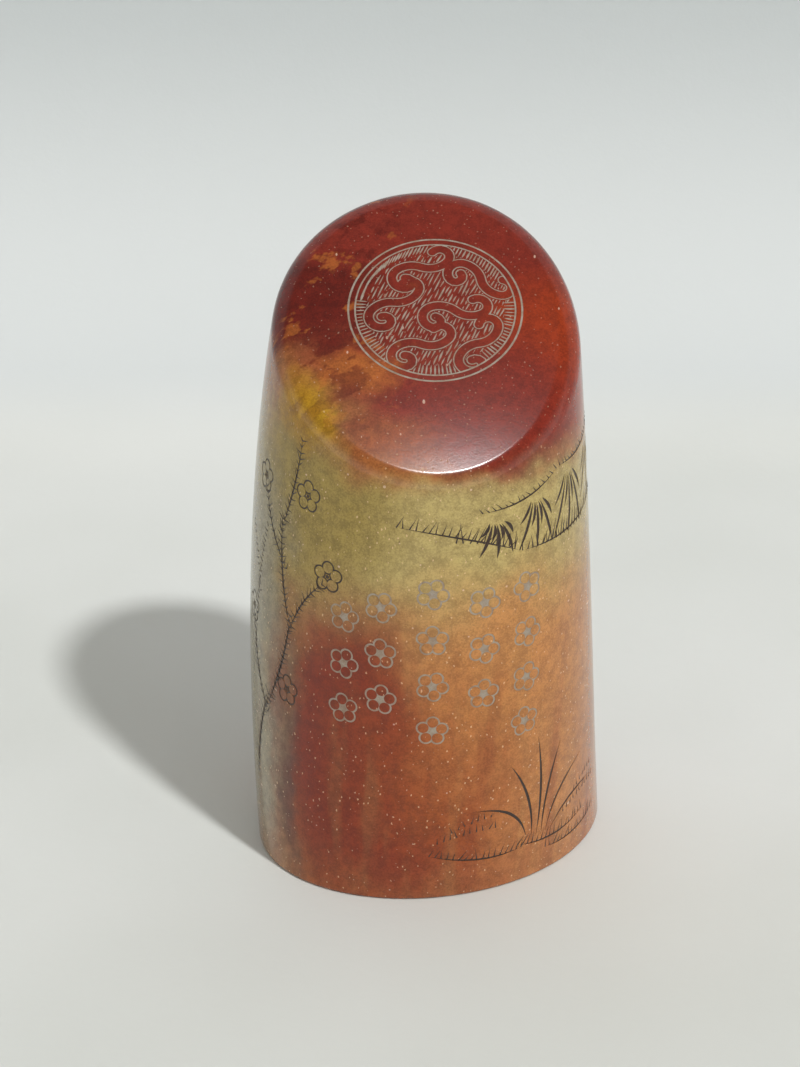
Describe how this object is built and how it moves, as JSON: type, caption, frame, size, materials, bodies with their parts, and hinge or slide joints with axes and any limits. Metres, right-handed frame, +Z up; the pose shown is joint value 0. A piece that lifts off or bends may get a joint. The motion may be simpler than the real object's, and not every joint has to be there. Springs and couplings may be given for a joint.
{
  "type": "seal stamp",
  "caption": "Carved soapstone seal: a bellied oval column cut obliquely on top, with inlaid engraving and a seal face in relief.",
  "frame": {"origin": "middle of the seal face, which the seal stands on", "axes": "+Z up along the column, -Y to the front, where the crown is lowest, +X to the right seen from the front"},
  "size_m": [0.0361, 0.0352, 0.0645],
  "materials": {
    "soapstone": "polished, mottled red, olive and orange",
    "pale_filling": "matt grey powder in the cut lines",
    "dark_ink": "matt dried ink in the cut lines"
  },
  "bodies": {
    "root": {"stone_body": "soapstone", "roundel_ring_filling": "pale_filling", "roundel_ground_filling": "pale_filling", "far_left_blossom_filling": "pale_filling", "left_blossom_filling": "pale_filling", "middle_blossom_filling": "pale_filling", "right_blossom_filling": "pale_filling", "far_right_blossom_filling": "pale_filling", "plum_branch_ink": "dark_ink", "plum_blossom_ink": "dark_ink", "bamboo_ink": "dark_ink", "orchid_ink": "dark_ink", "ground_line_ink": "dark_ink"}
  },
  "joints": []
}
